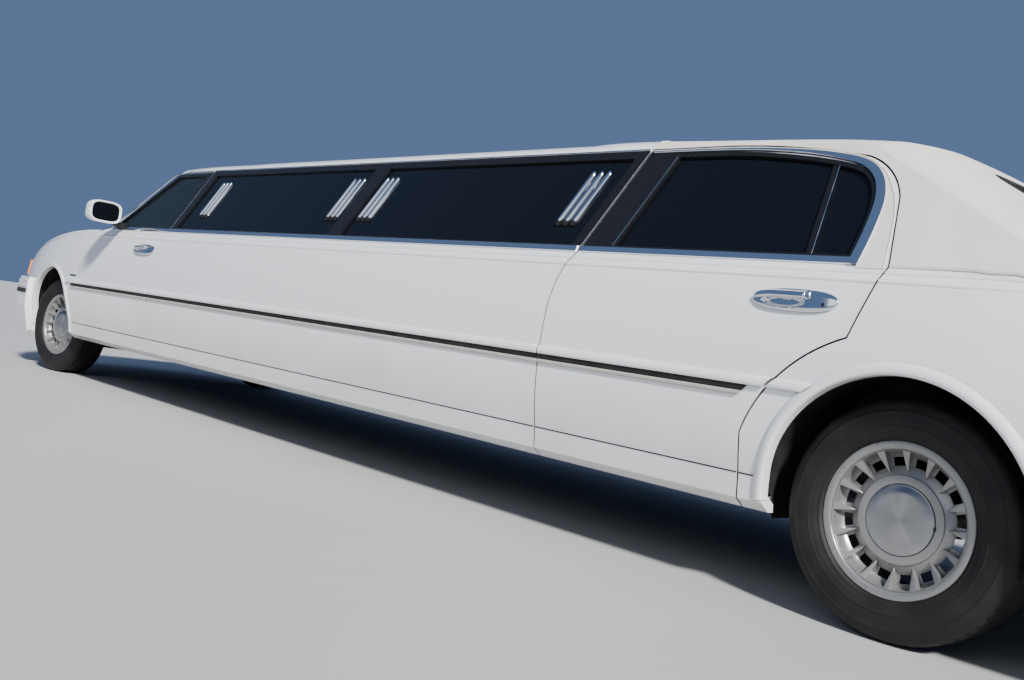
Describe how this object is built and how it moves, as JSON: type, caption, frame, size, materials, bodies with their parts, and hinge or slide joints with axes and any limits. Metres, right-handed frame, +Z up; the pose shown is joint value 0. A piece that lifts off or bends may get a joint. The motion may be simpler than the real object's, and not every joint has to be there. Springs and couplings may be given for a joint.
{
  "type": "stretch limousine",
  "caption": "Long-wheelbase passenger limousine with a padded rear roof, opening doors, hood and trunk lid, steered front wheels and rolling wheels.",
  "frame": {"origin": "middle of the vehicle's length and width, on the ground under the wheels", "axes": "+X towards the front of the vehicle, +Y to its left, +Z up"},
  "size_m": [8.7708, 2.386, 1.5159],
  "materials": {
    "body_paint": "gloss",
    "vinyl": "satin",
    "dark_glass": "gloss",
    "chrome": "polished",
    "black_trim": "matte",
    "tyre": "matte",
    "alloy": "satin",
    "chassis": "satin",
    "lamp_clear": "gloss",
    "lamp_red": "gloss",
    "seat_leather": "satin",
    "interior": "matte"
  },
  "bodies": {
    "body": {"front_fenders": "body_paint", "headlamps": "lamp_clear", "rear_quarters": "body_paint", "tail_lamps": "lamp_red", "roof_panel": "body_paint", "padded_top": "vinyl", "windscreen": "dark_glass", "backlight": "dark_glass", "centre_sides": "body_paint", "centre_glass": "dark_glass", "front_bumper": "body_paint", "rear_bumper": "body_paint", "grille": "chrome", "floor_pan": "chassis", "sills": "chassis", "front_wheelhouses": "black_trim", "rear_wheelhouses": "black_trim", "frame_rails": "chassis", "cross_members": "chassis", "front_suspension": "chassis", "rear_axle": "chassis", "powertrain": "chassis", "exhaust": "chassis", "fuel_tank": "chassis", "front_seats": "seat_leather", "rear_seat": "seat_leather", "lounge_bench": "seat_leather", "partition": "interior", "dashboard": "interior", "steering_wheel": "black_trim", "window_bars": "chrome", "door_posts": "chassis"},
    "hood": {"hood": "body_paint"},
    "trunk_lid": {"trunk_lid": "body_paint"},
    "front_door_left": {"front_door_left": "body_paint", "front_door_glass_left": "dark_glass", "front_door_handle_left": "chrome", "mirror_left": "body_paint"},
    "rear_door_left": {"rear_door_left": "body_paint", "rear_door_glass_left": "dark_glass", "rear_door_handle_left": "chrome"},
    "front_door_right": {"front_door_right": "body_paint", "front_door_glass_right": "dark_glass", "front_door_handle_right": "chrome", "mirror_right": "body_paint"},
    "rear_door_right": {"rear_door_right": "body_paint", "rear_door_glass_right": "dark_glass", "rear_door_handle_right": "chrome"},
    "knuckle_left": {"knuckle_front_left": "chassis"},
    "wheel_front_left": {"tyre_front_left": "tyre", "wheel_front_left": "alloy"},
    "wheel_rear_left": {"tyre_rear_left": "tyre", "wheel_rear_left": "alloy"},
    "knuckle_right": {"knuckle_front_right": "chassis"},
    "wheel_front_right": {"tyre_front_right": "tyre", "wheel_front_right": "alloy"},
    "wheel_rear_right": {"tyre_rear_right": "tyre", "wheel_rear_right": "alloy"}
  },
  "joints": [
    {"name": "hood_open", "type": "hinge", "parent": "body", "child": "hood", "pos_m": [2.8935, 0, 1.047], "axis": [0, -1, 0], "range_deg": [0, 50]},
    {"name": "trunk_open", "type": "hinge", "parent": "body", "child": "trunk_lid", "pos_m": [-3.6295, 0, 1.019], "axis": [0, 1, 0], "range_deg": [0, 75]},
    {"name": "front_door_left_open", "type": "hinge", "parent": "body", "child": "front_door_left", "pos_m": [2.6785, 0.938, 0.65], "axis": [0, 0, -1], "range_deg": [0, 65]},
    {"name": "rear_door_left_open", "type": "hinge", "parent": "body", "child": "rear_door_left", "pos_m": [-1.7215, 0.938, 0.65], "axis": [0, 0, -1], "range_deg": [0, 65]},
    {"name": "front_door_right_open", "type": "hinge", "parent": "body", "child": "front_door_right", "pos_m": [2.6785, -0.938, 0.65], "axis": [0, 0, 1], "range_deg": [0, 65]},
    {"name": "rear_door_right_open", "type": "hinge", "parent": "body", "child": "rear_door_right", "pos_m": [-1.7215, -0.938, 0.65], "axis": [0, 0, 1], "range_deg": [0, 65]},
    {"name": "steer_left", "type": "hinge", "parent": "body", "child": "knuckle_left", "pos_m": [3.3255, 0.735, 0.336], "axis": [0, 0, 1], "range_deg": [-38.5, 21.5]},
    {"name": "roll_front_left", "type": "hinge", "parent": "knuckle_left", "child": "wheel_front_left", "pos_m": [3.31626, 0.79681, 0.336], "axis": [-0.1478, 0.989, 0], "continuous": true},
    {"name": "roll_rear_left", "type": "hinge", "parent": "body", "child": "wheel_rear_left", "pos_m": [-2.9665, 0.804, 0.336], "axis": [0, 1, 0], "continuous": true},
    {"name": "steer_right", "type": "hinge", "parent": "body", "child": "knuckle_right", "pos_m": [3.3255, -0.735, 0.336], "axis": [0, 0, 1], "range_deg": [-38.5, 21.5]},
    {"name": "roll_front_right", "type": "hinge", "parent": "knuckle_right", "child": "wheel_front_right", "pos_m": [3.33474, -0.79681, 0.336], "axis": [-0.1478, 0.989, 0], "continuous": true},
    {"name": "roll_rear_right", "type": "hinge", "parent": "body", "child": "wheel_rear_right", "pos_m": [-2.9665, -0.804, 0.336], "axis": [0, 1, 0], "continuous": true}
  ],
  "couplings": [
    {"joint": "steer_right", "follows": "steer_left", "ratio": 1}
  ]
}
